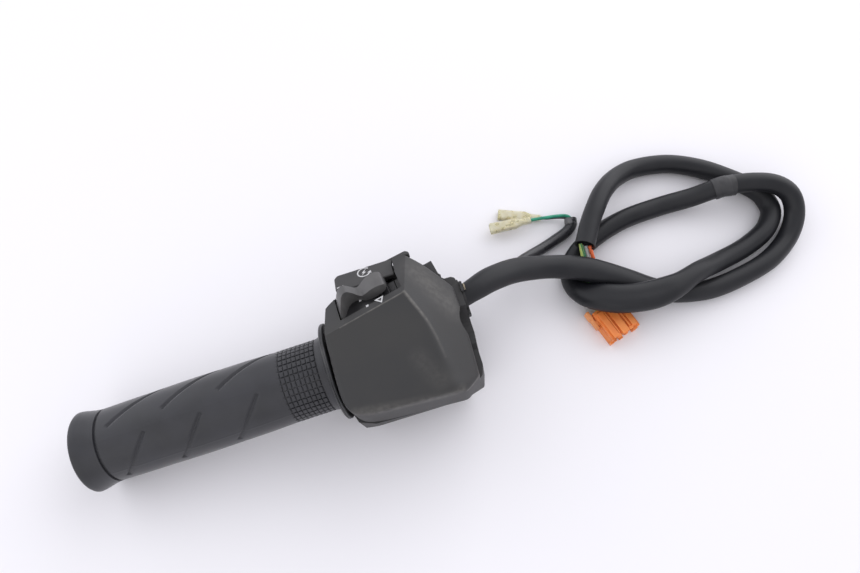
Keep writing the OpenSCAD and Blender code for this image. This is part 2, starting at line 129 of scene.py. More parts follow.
def studio():
    bpy.ops.mesh.primitive_plane_add(size=6, location=(0, 0, 0))
    floor = bpy.context.object
    floor.name = "floor"
    m, _, bsdf = new_material("floor")
    bsdf.inputs["Base Color"].default_value = (0.84, 0.83, 0.86, 1)
    bsdf.inputs["Roughness"].default_value = 0.65
    floor.data.materials.append(m)
    scene = bpy.context.scene
    scene.view_settings.view_transform = "Standard"
    world = bpy.data.worlds.new("world")
    scene.world = world
    world.use_nodes = True
    world.node_tree.nodes["Background"].inputs[0].default_value = (0.95, 0.945, 0.99, 1)
    world.node_tree.nodes["Background"].inputs[1].default_value = 0.875
    area_light("window", (1.8, 1.3, 1.1), 3.0, 38.0, (0.98, 0.98, 1.0))
    area_light("far window", (-1.7, 1.5, 1.3), 2.6, 17.0, (0.95, 0.97, 1.0))
    area_light("fill", (-0.9, -1.1, 1.3), 1.8, 5.0, (1.0, 0.98, 0.95))


# ---- materials ----
def new_material(name):
    m = bpy.data.materials.new(name)
    m.use_nodes = True
    return m, m.node_tree, m.node_tree.nodes["Principled BSDF"]


def add(nt, kind, **values):
    """A node with its properties and input values set; a linked input is given as an output socket."""
    n = nt.nodes.new(kind)
    for key, value in values.items():
        if key in n.bl_rna.properties:
            setattr(n, key, value)
    for key, value in values.items():
        if key in n.bl_rna.properties:
            continue
        socket = n.inputs[int(key[1:])] if key[0] == "i" and key[1:].isdigit() else n.inputs[key]
        if isinstance(value, bpy.types.NodeSocket):
            nt.links.new(value, socket)
        else:
            socket.default_value = value
    return n


def math_node(nt, operation, a, b=0.0, clamp=False):
    n = add(nt, "ShaderNodeMath", operation=operation, use_clamp=clamp, i0=a, i1=b)
    return n.outputs[0]


def noise_of(nt, where, scale, detail, low=0.35, high=0.65):
    """Noise stretched so that low becomes 0 and high becomes 1."""
    n = add(nt, "ShaderNodeTexNoise", Vector=where, Scale=scale, Detail=detail)
    r = add(nt, "ShaderNodeMapRange", i0=n.outputs["Fac"], i1=low, i2=high, i3=0.0, i4=1.0)
    return r.outputs[0]


def blend(nt, share, a, b):
    """Colour a where share is 0 and b where it is 1."""
    n = add(nt, "ShaderNodeMix", data_type="RGBA")
    for socket, value in ((n.inputs[0], share), (n.inputs[6], a), (n.inputs[7], b)):
        if isinstance(value, bpy.types.NodeSocket):
            nt.links.new(value, socket)
        elif isinstance(value, (int, float)):
            socket.default_value = value
        else:
            socket.default_value = (*value, 1.0) if len(value) == 3 else value
    return n.outputs[2]


def near_segment(nt, where, a, b, radius):
    """1 on the line from a to b, falling to 0 at radius; a and b are in metres in the row frame."""
    a, d = Vector(a), Vector(b) - Vector(a)
    v = add(nt, "ShaderNodeVectorMath", operation="SUBTRACT", i0=where, i1=a).outputs[0]
    dot = add(nt, "ShaderNodeVectorMath", operation="DOT_PRODUCT", i0=v, i1=d / d.length_squared)
    h = math_node(nt, "MULTIPLY", dot.outputs["Value"], 1.0, clamp=True)
    foot = add(nt, "ShaderNodeVectorMath", operation="SCALE", i0=d, Scale=h).outputs[0]
    off = add(nt, "ShaderNodeVectorMath", operation="SUBTRACT", i0=v, i1=foot).outputs[0]
    length = add(nt, "ShaderNodeVectorMath", operation="LENGTH", i0=off).outputs["Value"]
    r = add(nt, "ShaderNodeMapRange", interpolation_type="SMOOTHSTEP",
            i0=length, i1=radius, i2=0.0, i3=0.0, i4=1.0)
    return r.outputs[0]


def moulded(name, base, tint, rough, patch=90, grain=2600, bump=0.25, depth=0.00005, rough_by=0.1,
            wear=(), wear_colour=None, sheen=0.0, stripes=None, shine=0.5):
    """Plastic, vinyl or rubber: two close colours in soft patches, fine grain, optional lighter lines for
    rubbed edges and painted highlights.
    """
    m, nt, bsdf = new_material(name)
    where = add(nt, "ShaderNodeTexCoord").outputs["Object"]
    patches = noise_of(nt, where, patch, 4.0)
    colour = blend(nt, patches, base, tint)
    if stripes:
        other, axis, width = stripes
        sep = add(nt, "ShaderNodeSeparateXYZ", i0=where)
        band = math_node(nt, "LESS_THAN", math_node(nt, "FRACT", math_node(
            nt, "MULTIPLY", sep.outputs[axis], 1.0 / width)), 0.3)
        colour = blend(nt, band, colour, other)
    roughness = math_node(nt, "ADD", math_node(nt, "MULTIPLY", patches, rough_by), rough)
    # lighter colour near the given segments: rubbed edges, and painted highlights where light falls on
    # ridges and facets
    if wear:
        total = None
        for a, b, radius, strength in wear:
            one = math_node(nt, "MULTIPLY", near_segment(nt, where, a, b, radius), strength)
            total = one if total is None else math_node(nt, "MAXIMUM", total, one)
        patchy = add(nt, "ShaderNodeMapRange", i0=noise_of(nt, where, 420, 4.0), i3=0.45, i4=1.0)
        share = math_node(nt, "MULTIPLY", total, patchy.outputs[0])
        colour = blend(nt, share, colour, wear_colour)
        roughness = math_node(nt, "SUBTRACT", roughness, math_node(nt, "MULTIPLY", share, 0.12))
    nt.links.new(colour, bsdf.inputs["Base Color"])
    nt.links.new(roughness, bsdf.inputs["Roughness"])
    fine = add(nt, "ShaderNodeTexNoise", Vector=where, Scale=grain, Detail=3.0)
    relief = add(nt, "ShaderNodeBump", Strength=bump, Distance=depth, Height=fine.outputs["Fac"])
    nt.links.new(relief.outputs[0], bsdf.inputs["Normal"])
    bsdf.inputs["Specular IOR Level"].default_value = shine
    bsdf.inputs["Sheen Weight"].default_value = sheen
    bsdf.inputs["Sheen Roughness"].default_value = 0.4
    return m


def metal(name, base, tint, rough):
    """Drawn or turned metal, with fine streaks along X."""
    m, nt, bsdf = new_material(name)
    where = add(nt, "ShaderNodeTexCoord").outputs["Object"]
    stretched = add(nt, "ShaderNodeMapping", Vector=where, Scale=(40, 900, 900)).outputs[0]
    streaks = noise_of(nt, stretched, 3.0, 3.0)
    nt.links.new(blend(nt, streaks, base, tint), bsdf.inputs["Base Color"])
    nt.links.new(math_node(nt, "ADD", math_node(nt, "MULTIPLY", streaks, 0.15), rough),
                 bsdf.inputs["Roughness"])
    bsdf.inputs["Metallic"].default_value = 1.0
    relief = add(nt, "ShaderNodeBump", Strength=0.2, Distance=0.00003, Height=streaks)
    nt.links.new(relief.outputs[0], bsdf.inputs["Normal"])
    return m


def cloudy(name, base, tint, transmission, rough):
    """Yellowed or milky clear vinyl."""
    m, nt, bsdf = new_material(name)
    where = add(nt, "ShaderNodeTexCoord").outputs["Object"]
    patches = noise_of(nt, where, 260, 4.0, 0.4, 0.6)
    nt.links.new(blend(nt, patches, base, tint), bsdf.inputs["Base Color"])
    nt.links.new(math_node(nt, "ADD", math_node(nt, "MULTIPLY", patches, 0.2), rough),
                 bsdf.inputs["Roughness"])
    bsdf.inputs["Transmission Weight"].default_value = transmission
    bsdf.inputs["IOR"].default_value = 1.4
    lumps = add(nt, "ShaderNodeTexNoise", Vector=where, Scale=900, Detail=2.0)
    relief = add(nt, "ShaderNodeBump", Strength=0.3, Distance=0.0001, Height=lumps.outputs["Fac"])
    nt.links.new(relief.outputs[0], bsdf.inputs["Normal"])
    return m


def metres(p):
    """A point of the bar's frame in metres in the row frame."""
    return METRES @ BAR @ Vector(p)


def rubbed_edges_and_painted_highlights():
    """Rubbed edges and painted highlights of the rear shell: (start, end, reach, strength), in the row
    frame.
    """
    # each chain of points on the bar's frame has one reach and a strength for each of its links
    chains = [
        # the ridge down from the apex: a rubbed edge, and a painted highlight that fades down the ridge
        ([(162.7, 16.5, 27.4), (166, 8, 26.6), (169, 0.5, 25.9), (170.6, -8, 25), (171.3, -16, 24)],
         0.0014, (0.8, 0.7, 0.5, 0.25)),
        ([(131, 10.8, 24.8), (162.5, 16.4, 27.4)], 0.0006, (0.75,)),
        # a lighter band about 4.5 mm wide along the lower edge
        ([(127.5, -27.5, 20), (150, -30.6, 19.5), (173.5, -31.8, 19)], 0.0045, (0.45, 0.45)),
        ([(185.2, 18.5, 8), (184.6, 6, 11), (184.6, -8, 10), (184.6, -24, 8.5), (174.2, -32.8, 17)],
         0.0013, (0.6, 0.6, 0.6, 0.6)),
        # painted highlight: a broad lighter patch on the upper right facet, which faces the light
        ([(170, 27, 16), (182, 9, 14)], 0.012, (0.32,)),
        # a faint broad lighter patch on the top facet beside the lower part of the ridge
        ([(160, -13, 24.5), (166, -25, 23.5)], 0.007, (0.12,)),
        ([(122.6, 10, 23.6), (122.6, -18.5, 21), (124.4, -25, 20.5), (128.5, -28.6, 20)],
         0.0007, (0.6, 0.6, 0.6))]
    return [(metres(a), metres(b), reach, strength) for points, reach, strengths in chains
            for a, b, strength in zip(points[:-1], points[1:], strengths)]


def make_materials():
    made = {}

    def mould(name, *finish, **options):
        made[name] = moulded(name, *finish, **options)

    # finish: two colours, roughness, patches, grain, relief strength and depth, roughness spread
    # the rear shell is lighter along its rubbed edges and has painted highlights on its ridge and upper
    # right facet
    mould("housing_plastic", (0.020, 0.020, 0.021), (0.026, 0.0255, 0.025), 0.50, 45, 2600, 0.35,
          0.00006, 0.08, wear=rubbed_edges_and_painted_highlights(), wear_colour=(0.15, 0.142, 0.13))
    mould("front_plastic", (0.024, 0.024, 0.025), (0.032, 0.031, 0.031), 0.5, 45, 2600, 0.35,
          0.00006, 0.08)
    mould("grip_rubber", (0.013, 0.0135, 0.017), (0.024, 0.0245, 0.030), 0.42, 70, 1900, 0.2,
          0.00004, 0.14, sheen=0.25)
    mould("tube_plastic", (0.022, 0.023, 0.025), (0.05, 0.05, 0.052), 0.38, 110, 2200, 0.15, 0.00003)
    mould("rocker_plastic", (0.030, 0.030, 0.031), (0.040, 0.039, 0.039), 0.42, 110, 2600, 0.2,
          0.00004, 0.1)
    mould("switch_black", (0.006, 0.006, 0.007), (0.012, 0.012, 0.013), 0.32, 120, 2600, 0.1, 0.00002)
    mould("slider_grey", (0.062, 0.061, 0.062), (0.085, 0.083, 0.082), 0.36, 130, 2400, 0.15,
          0.00003, 0.1)
    mould("carrier_plastic", (0.014, 0.014, 0.015), (0.024, 0.024, 0.025), 0.45, 100)
    mould("seal_rubber", (0.012, 0.012, 0.013), (0.022, 0.022, 0.022), 0.6, 120)
    mould("sheath_vinyl", (0.009, 0.0095, 0.012), (0.017, 0.0175, 0.020), 0.36, 38, 900, 0.3,
          0.00008, 0.14, shine=0.3)
    mould("branch_vinyl", (0.018, 0.018, 0.022), (0.036, 0.036, 0.04), 0.24, 60, 700, 0.4,
          0.0001, 0.12)
    mould("tape", (0.02, 0.02, 0.022), (0.04, 0.04, 0.043), 0.42, 160, 1400, 0.5, 0.0001, 0.2)
    for name, base, tint, rough, stripes in (
            ("wire_yellow_green", (0.50, 0.60, 0.16), (0.36, 0.48, 0.14), 0.35,
             ((0.03, 0.28, 0.10), 0, 0.0021)),
            ("wire_green_red", (0.04, 0.24, 0.13), (0.07, 0.30, 0.18), 0.35,
             ((0.5, 0.05, 0.04), 0, 0.0016)),
            ("wire_white", (0.62, 0.63, 0.64), (0.48, 0.49, 0.5), 0.35, None),
            ("wire_orange", (0.86, 0.13, 0.04), (0.92, 0.2, 0.07), 0.33, None),
            ("wire_green", (0.012, 0.22, 0.13), (0.03, 0.32, 0.2), 0.33, None),
            ("wire_black", (0.014, 0.014, 0.015), (0.03, 0.03, 0.032), 0.33, None)):
        mould(name, base, tint, rough, 300, 1800, 0.1, 0.00002, stripes=stripes)
    mould("plug_orange", (0.74, 0.20, 0.040), (0.86, 0.28, 0.070), 0.42, 170, 2200, 0.25, 0.00004, 0.12)
    mould("latch_orange", (0.70, 0.25, 0.075), (0.80, 0.33, 0.12), 0.42, 170, 2200, 0.25, 0.00004, 0.12)
    mould("paint", (0.62, 0.62, 0.63), (0.46, 0.46, 0.47), 0.45, 500)
    for name, base, tint, rough in (("steel", (0.5, 0.5, 0.51), (0.64, 0.64, 0.65), 0.28),
                                    ("contact_metal", (0.66, 0.5, 0.25), (0.78, 0.62, 0.34), 0.3),
                                    ("screw_brass", (0.22, 0.19, 0.14), (0.34, 0.30, 0.23), 0.45)):
        made[name] = metal(name, base, tint, rough)
    for name, base, tint, transmission, rough in (
            ("clear_sleeve", (0.05, 0.05, 0.055), (0.2, 0.2, 0.21), 0.35, 0.2),
            ("sleeve_yellowed", (0.78, 0.73, 0.47), (0.93, 0.91, 0.74), 0.5, 0.24)):
        made[name] = cloudy(name, base, tint, transmission, rough)
    return made


# ---- mesh helpers, in millimetres ----
def box(lo, hi, local=None):
    bm = bmesh.new()
    bmesh.ops.create_cube(bm, size=1)
    size = [b - a for a, b in zip(lo, hi)]
    mid = [(a + b) / 2 for a, b in zip(lo, hi)]
    bmesh.ops.scale(bm, vec=size, verts=bm.verts)
    bmesh.ops.translate(bm, vec=mid, verts=bm.verts)
    if local is not None:
        bm.transform(local)
    return bm


def rod(r, z0, z1, local, n):
    bm = bmesh.new()
    bmesh.ops.create_cone(bm, cap_ends=True, segments=n, radius1=r, radius2=r, depth=z1 - z0)
    bmesh.ops.translate(bm, vec=(0, 0, (z0 + z1) / 2), verts=bm.verts)
    bm.transform(local)
    return bm


def rod_x(r, x0, x1):
    return rod(r, x0, x1, ALONG_X, 96)


def prism(outline, z0, z1):
    bm = bmesh.new()
    low = [bm.verts.new((x, y, z0)) for x, y in outline]
    high = [bm.verts.new((x, y, z1)) for x, y in outline]
    n = len(outline)
    bm.faces.new(low)
    bm.faces.new(high)
    for i in range(n):
        bm.faces.new((low[i], low[(i + 1) % n], high[(i + 1) % n], high[i]))
    bmesh.ops.recalc_face_normals(bm, faces=bm.faces)
    return bm


def direction(az, el):
    """The unit vector at az degrees round from +X and el degrees up."""
    az, el = math.radians(az), math.radians(el)
    return Vector((math.cos(el) * math.cos(az), math.cos(el) * math.sin(az), math.sin(el)))


def slice_off(bm, p, az, el, inset=0.0):
    """Removes what lies beyond the plane through p with its normal along az, el."""
    n = direction(az, el)
    bmesh.ops.bisect_plane(bm, geom=bm.verts[:] + bm.edges[:] + bm.faces[:], dist=1e-5,
                           plane_co=Vector(p) - inset * n, plane_no=n, clear_outer=True)
    rim = [e for e in bm.edges if e.is_boundary]
    if rim:
        bmesh.ops.holes_fill(bm, edges=rim)
    bmesh.ops.recalc_face_normals(bm, faces=bm.faces)


def skin(bm, rows):
    """Faces between each closed ring of vertices and the next."""
    n = len(rows[0])
    for a, b in zip(rows[:-1], rows[1:]):
        for k in range(n):
            bm.faces.new((a[k], a[(k + 1) % n], b[(k + 1) % n], b[k]))


def curve_point(a, b, c, d, t):
    """The point a share t of the way from b to c on the smooth curve through all four."""
    return 0.5 * ((2 * b) + (c - a) * t + (2 * a - 5 * b + 4 * c - d) * t * t
                  + (3 * b - a - 3 * c + d) * t ** 3)


def scratch_object(bm):
    me = bpy.data.meshes.new("scratch")
    bm.to_mesh(me)
    bm.free()
    o = bpy.data.objects.new("scratch", me)
    bpy.context.scene.collection.objects.link(o)
    return o


def settle(o):
    """The object's mesh with its modifiers applied, as a new bmesh; the object is removed."""
    seen = o.evaluated_get(bpy.context.evaluated_depsgraph_get())
    bm = bmesh.new()
    bm.from_mesh(seen.to_mesh())
    seen.to_mesh_clear()
    me = o.data
    bpy.data.objects.remove(o)
    bpy.data.meshes.remove(me)
    return bm


def combine(bm, others, operation):
    """Union, difference or intersection of bm with each of others in turn."""
    for other in others:
        base, tool = scratch_object(bm), scratch_object(other)
        mod = base.modifiers.new("cut", "BOOLEAN")
        mod.operation = operation
        mod.solver = "EXACT"
        mod.object = tool
        bm = settle(base)
        me = tool.data
        bpy.data.objects.remove(tool)
        bpy.data.meshes.remove(me)
    return bm


def minus(bm, *others):
    return combine(bm, others, "DIFFERENCE")


def plus(bm, *others):
    return combine(bm, others, "UNION")


def common(bm, *others):
    return combine(bm, others, "INTERSECT")


def rounded(bm, width, segments, weight=None, angle=None):
    """Rounds edges: all sharper than angle, or each by weight(its middle) times width."""
    if weight is not None:
        layer = bm.edges.layers.float.new("bevel_weight_edge")
        for e in bm.edges:
            e[layer] = weight((e.verts[0].co + e.verts[1].co) / 2)
    o = scratch_object(bm)
    mod = o.modifiers.new("round", "BEVEL")
    mod.width = width
    mod.segments = segments
    mod.limit_method = "WEIGHT" if weight is not None else "ANGLE"
    if angle is not None:
        mod.angle_limit = math.radians(angle)
    mod.use_clamp_overlap = True
    return settle(o)


def joined(*parts):
    """Several bmeshes as one, left as separate shells."""
    bm = bmesh.new()
    for part in parts:
        me = bpy.data.meshes.new("part")
        part.to_mesh(me)
        part.free()
        bm.from_mesh(me)
        bpy.data.meshes.remove(me)
    return bm


def make(name, bm, local, body, slot, stands_for=(), smooth=35, look=None, flat_ends=True):
    """Puts a finished mesh into the scene as a piece that rides on body."""
    bm.transform(METRES @ local)
    bmesh.ops.recalc_face_normals(bm, faces=bm.faces)
    me = bpy.data.meshes.new(name)
    bm.to_mesh(me)
    bm.free()
    me.polygons.foreach_set("use_smooth", [True] * len(me.polygons))
    me.set_sharp_from_angle(angle=math.radians(smooth))
    me.materials.append(MATERIALS[look or slot])
    o = bpy.data.objects.new(name, me)
    bpy.context.scene.collection.objects.link(o)
    if flat_ends:
        mod = o.modifiers.new("flats", "WEIGHTED_NORMAL")
        mod.keep_sharp = True
        mod.weight = 80
    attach(o, body)
    if stands_for:
        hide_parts(*stands_for)
    return o


# ---- tubes along routes ----
def smooth_route(points, step):
    """Evenly spaced points on a smooth curve through the route's points."""
    pts = [Vector(p) for p in points]
    pts = [2 * pts[0] - pts[1], *pts, 2 * pts[-1] - pts[-2]]
    fine = []
    for a, b, c, d in zip(pts[:-3], pts[1:-2], pts[2:-1], pts[3:]):
        fine += [curve_point(a, b, c, d, k / 12) for k in range(12)]
    fine.append(pts[-2])
    total = sum((b - a).length for a, b in zip(fine[:-1], fine[1:]))
    count = max(2, round(total / step))
    out, walked, i = [fine[0]], 0.0, 0
    for k in range(1, count):
        goal = total * k / count
        while walked + (fine[i + 1] - fine[i]).length < goal:
            walked += (fine[i + 1] - fine[i]).length
            i += 1
        seg = fine[i + 1] - fine[i]
        out.append(fine[i] + seg * ((goal - walked) / seg.length))
    out.append(fine[-1])
    return out


def headings(path):
    ends = [path[0], *path, path[-1]]
    return [(ends[i + 2] - ends[i]).normalized() for i in range(len(path))]


def frames(path):
    """A level side vector and an upward one for each point of the path."""
    out = []
    for h in headings(path):
        side = h.cross(Vector((0, 0, 1))).normalized()
        out.append((side, side.cross(h)))
    return out


def sweep(path, radius, sides, mouth=None):
    """A tube whose radius is radius(distance, angle), flattened where it lies on the table;
    mouth=(inner radius, depth) opens its far end."""
    bm = bmesh.new()
    rows = []
    walked = 0.0
    axes = frames(path)
    for i, (p, (s, u)) in enumerate(zip(path, axes)):
        if i:
            walked += (p - path[i - 1]).length
        ring = []
        for k in range(sides):
            a = 2 * math.pi * k / sides
            spot = p + radius(walked, a) * (math.cos(a) * s + math.sin(a) * u)
            spot.z = max(spot.z, 0.02)
            ring.append(bm.verts.new(spot))
        rows.append(ring)
    if mouth:
        inner, depth = mouth
        p, (s, u) = path[-1], axes[-1]
        back = -headings(path)[-1]
        for r, z in ((inner + 0.25, 0.0), (inner, 0.3), (inner, depth)):
            rows.append([bm.verts.new(p + z * back + r * (math.cos(2 * math.pi * k / sides) * s
                                                          + math.sin(2 * math.pi * k / sides) * u))
                         for k in range(sides)])
    skin(bm, rows)
    bm.faces.new(rows[0])
    bm.faces.new(rows[-1])
    return bm


def length_of(path):
    return sum((b - a).length for a, b in zip(path[:-1], path[1:])) * 0.001


def along(path, point):
    """Distance along the path to its spot nearest to point."""
    i = min(range(len(path)), key=lambda k: (path[k] - Vector(point)).length)
    return length_of(path[:i + 1]) * 1000


def vinyl_radius(r, amount, scale, seed):
    """Radius of soft tubing, slightly out of round and dented."""
    def at(s, a):
        lumps = noise.noise(Vector((s / scale, math.cos(a) * 0.8 + seed, math.sin(a) * 0.8)))
        oval = math.cos(2 * a + 0.02 * s + seed) * noise.noise(Vector((s / 60, seed, 0.3)))
        return r * (1 + amount * lumps + 1.4 * amount * oval)
    return at


def make_lead(name, path, radius):
    """A bare lead in the colour its node is named after."""
    slot = "wire_" + name.split("lead_")[1]
    return make(name + "_wire", sweep(path, lambda s, a: radius, 16), TABLE, "housing", slot, [name],
                50, flat_ends=False)


def wiring():
    tape_path = smooth_route(TAPE_ROUTE, 0.35)

    def taped(s, a):
        wrap = (s / 4.6 + a / (2 * math.pi)) % 1.0
        wrinkle = noise.noise(Vector((s * 0.55, math.cos(a) * 2.2, math.sin(a) * 2.2)))
        return SHEATH_R + 0.38 + 0.16 * (1 - wrap) + 0.14 * wrinkle

    make("tape_wrap", sweep(tape_path, taped, 48), TABLE, "housing", "tape", ["tape_band"])

    path = smooth_route(MAIN_ROUTE, 2.0)
    tubing = vinyl_radius(SHEATH_R, 0.022, 17, 1.7)
    # squashed wider than tall outside the outlet and in the two strands that cross over the leads
    bulges = [(31, 21, 0.22), (along(path, (172, 10.3, 14.2)), 36, 0.24),
              (along(path, (180, -7.5, 16.8)), 27, 0.46)]

    def squashed(s, a):
        wider = sum(most * math.exp(-((s - middle) / reach) ** 4) for middle, reach, most in bulges)
        return tubing(s, a) * (1 + wider * (math.cos(a) ** 2 - 0.2 * math.sin(a) ** 2))

    sheath = make("main_sheath", sweep(path, squashed, 32, (4.45, 11)),
                  TABLE, "housing", "sheath_vinyl", ["harness_sheath"], 50, flat_ends=False)

    cuff_path = smooth_route(CUFF_ROUTE, 0.4)

    def cuffed(s, a):
        crease = noise.noise(Vector((s * 0.9, math.cos(a) * 3, math.sin(a) * 3)))
        return BRANCH_R + 0.42 + 0.2 * crease

    make("branch_cuff", sweep(cuff_path, cuffed, 40, (2.55, 1.6)), TABLE, "housing", "clear_sleeve",
         ["branch_end_sleeve"])
    path = smooth_route(BRANCH_ROUTE, 1.0)
    branch = make("branch_tube", sweep(path, vinyl_radius(BRANCH_R, 0.05, 9, 4.1), 28, (2.4, 4)),
                  TABLE, "housing", "branch_vinyl", ["branch_sheath"], 50, flat_ends=False)

    plug_pieces = make_plug()
    for name, route in LEAD_ROUTES.items():
        path = smooth_route(route, 0.8)
        lead = make_lead(name, path, LEAD_R)

    sleeve_pieces = make_sleeves()
    for name, route in SPUR_ROUTES.items():
        path = smooth_route(route, 0.7)
        lead = make_lead(name, path, SPUR_R)


# ---- plug and spade sleeves ----
def soft_box(lo, hi, width):
    return rounded(box(lo, hi), width, 2, angle=40)


def make_plug():
    body = box((0, -8.5, 0.1), (16.6, 8.5, 8.3))
    body = minus(body, box((11, -7.2, 1.4), (18.5, 7.2, 7.2)),
                 *[rod(1.15, -1, 12, Matrix.Translation((0, 5 - 3 * i, 4.5)) @ ALONG_X, 24)
                   for i in range(4)],
                 box((2.2, -3.05, 7.7), (17, -2.3, 9)), box((2.2, 2.2, 7.7), (17, 2.9, 9)),
                 box((5, -8.6, 5.9), (14, -8.1, 6.7)), box((5, 8.1, 5.9), (14, 8.6, 6.7)))
    body = rounded(body, 0.3, 2, angle=50)
    rails = [soft_box((1.6, y, 8.1), (end, y + w, 9.5), 0.25)
             for y, w, end in ((-7.4, 3.3, 16.9), (-3.9, 0.8, 15.8), (-2.1, 4.1, 17.4),
                               (3.0, 0.8, 15.4), (4.7, 2.9, 16.4))]
    teeth = [soft_box((15.6, y, z), (end, y + w, z + h), 0.2)
             for y, w, z, h, end in (
                 (-8.5, 2.2, 0.1, 3.4, 17.9), (-5.4, 1.6, 0.1, 1.2, 17.6), (-2.6, 2.4, 0.1, 1.3, 18.0),
                 (1.6, 1.8, 0.1, 1.2, 17.4), (5.6, 2.9, 0.1, 4.2, 18.0), (-8.5, 1.3, 5.2, 2.6, 17.3),
                 (-5.6, 2.6, 7.3, 1.2, 17.7), (-0.8, 1.5, 7.3, 1.2, 18.0), (2.6, 2.4, 7.3, 1.2, 17.2),
                 (7.2, 1.3, 6.0, 2.2, 17.8))]
    plug = make("plug_body", joined(body, *rails, *teeth), PLUG, "housing", "plug_orange",
                ["main_plug"], 40)
    arm = joined(soft_box((-2.5, -11, 2), (2.2, -9.25, 7), 0.4),
                 soft_box((1.8, -10.7, 2.6), (8, -9.3, 6.4), 0.3),
                 soft_box((4, -9.6, 3), (6.5, -8.2, 6), 0.2))
    latch = make("plug_side_latch", arm, PLUG, "housing", "latch_orange", ["plug_latch"], 40)
    return [plug, latch, frame["nodes"]["plug_terminals"]]


def loft(sections):
    """Closed skin through rounded-rectangle sections (x, width, height, middle z, squareness)."""
    n = 32
    bm = bmesh.new()
    rows = []
    for x, w, h, z, power in sections:
        ring = []
        for k in range(n):
            a = 2 * math.pi * k / n
            c, s = math.cos(a), math.sin(a)
            y = math.copysign(abs(c) ** (2 / power), c) * w / 2
            zz = math.copysign(abs(s) ** (2 / power), s) * h / 2
            ring.append(bm.verts.new((x, y, z + zz)))
        rows.append(ring)
    skin(bm, [*rows, rows[0]])
    return bm


def make_sleeves():
    """Two clear sleeves over spade terminals; the outer skin turns in at the tip and comes back."""
    places = [Matrix.Translation((148.5, 54.5, 4.3)) @ Matrix.Rotation(math.radians(175.5), 4, "Z")
              @ Matrix.Rotation(math.radians(3), 4, "Y"),
              Matrix.Translation((155.6, 56, 0.2)) @ Matrix.Rotation(math.radians(158), 4, "Z")]
    out = []
    shells = []
    for local, length, h in zip(places, (23.0, 24.0), (4.2, 3.8)):
        m = h / 2
        outer = [(0.0, 3.4, h - 1.3, m, 2.4), (0.6, 3.5, h - 0.9, m, 2.6), (4.5, 3.5, h - 0.9, m, 3),
                 (6.2, 3.9, h - 0.7, m, 3), (8.0, 5.2, h - 0.2, m, 3.4), (9.5, 5.8, h, m, 4),
                 (13.0, 5.5, h - 0.25, m, 4), (length - 5, 5.7, h, m, 4), (length - 0.6, 5.8, h, m, 5),
                 (length, 5.5, h - 0.4, m, 5)]
        inner = [(x, w - 1.3, hh - 1.3, z, p) for x, w, hh, z, p in reversed(outer)]
        shells.append(loft(outer + inner))
        shells[-1].transform(local)
        tab = joined(soft_box((1.5, -1, 1.8), (8, 1, 2.5), 0.15),
                     soft_box((8, -2.3, 1.75), (length - 2, 2.3, 2.45), 0.2),
                     rod(1.0, 2, 7.5, Matrix.Translation((0, 0, m)) @ ALONG_X, 20),
                     soft_box((9, -2.3, 1.9), (length - 5, -1.5, h - 0.9), 0.15),
                     soft_box((9, 1.5, 1.9), (length - 5, 2.3, h - 0.9), 0.15))
        tab.transform(local)
        out.append(tab)
    sleeves = make("spade_covers", joined(*shells), TABLE, "housing", "sleeve_yellowed",
                   ["spade_sleeves"], 40, flat_ends=False)
    tabs = make("spade_tabs", joined(*out), TABLE, "housing", "contact_metal", ["spade_terminals"])
    return [sleeves, tabs]


# ---- rubber grip ----
SLEEVE_R, SLEEVE_IN = 13.2, 11.35
GRIP_CURVE = [(0.9, 19.0), (2.4, 18.8), (5, 18.15), (8, 17.5), (11, 17.15), (30, 17.4), (55, 17.7),
              (80, 17.5), (97.4, 17.1), (115.2, 17.1), (116.2, 17.25), (117.6, 17.7), (119.5, 18.2)]
WAFFLE_X, WAFFLE_PITCH, WAFFLE_COLUMNS, PADS_ROUND = 97.9, 2.14, 8, 36
# each row of slanted grooves: start x and angle, end x and angle, pitch (degrees from +Y towards +Z)
GROOVE_ROWS = [(17.8, 76, 45.0, 14, 26.1), (33.8, 103, 18.2, 167, 26.3)]
GROOVE_DEPTH, GROOVE_WALL, GROOVE_RAMP, GROOVE_END = 0.95, 0.75, 1.9, 0.9
PAD_GAP_DEPTH = 0.62
SEAM_ANGLES, SEAM_HALF_WIDTH, SEAM_HEIGHT = (96, 152, 276, 332), 0.9, 0.07


def grip_radius(x):
    for (x0, r0), (x1, r1) in zip(GRIP_CURVE[:-1], GRIP_CURVE[1:]):
        if x <= x1:
            t = (x - x0) / (x1 - x0)
            t = t * t * (3 - 2 * t)
            return r0 + (r1 - r0) * max(0.0, min(1.0, t))
    return GRIP_CURVE[-1][1]


def slant_depth(x, angle):
    """Depth of the slanted grooves: a steep wall on one side and a long ramp on the other."""
    depth = 0.0
    r = 17.4
    for x0, a0, x1, a1, pitch in GROOVE_ROWS:
        for i in range(3):
            for turn in (0, 180):
                ax, ay = x0 + pitch * i, math.radians(a0 + turn) * r
                bx, by = x1 + pitch * i, math.radians(a1 + turn) * r
                px, py = x, math.radians(angle) * r
                circle = 2 * math.pi * r
                middle = (ay + by) / 2
                py = middle + (py - middle + circle / 2) % circle - circle / 2
                dx, dy = bx - ax, by - ay
                length = math.hypot(dx, dy)
                forward = ((px - ax) * dx + (py - ay) * dy) / length
                across = ((px - ax) * dy - (py - ay) * dx) / length
                over = max(-forward, forward - length, 0.0)
                side = across / (GROOVE_RAMP if across * (by - ay) > 0 else GROOVE_WALL)
                d = math.hypot(side, over / GROOVE_END)
                if d < 1:
                    depth = max(depth, GROOVE_DEPTH * (1 - d * d * (3 - 2 * d)))
    return depth


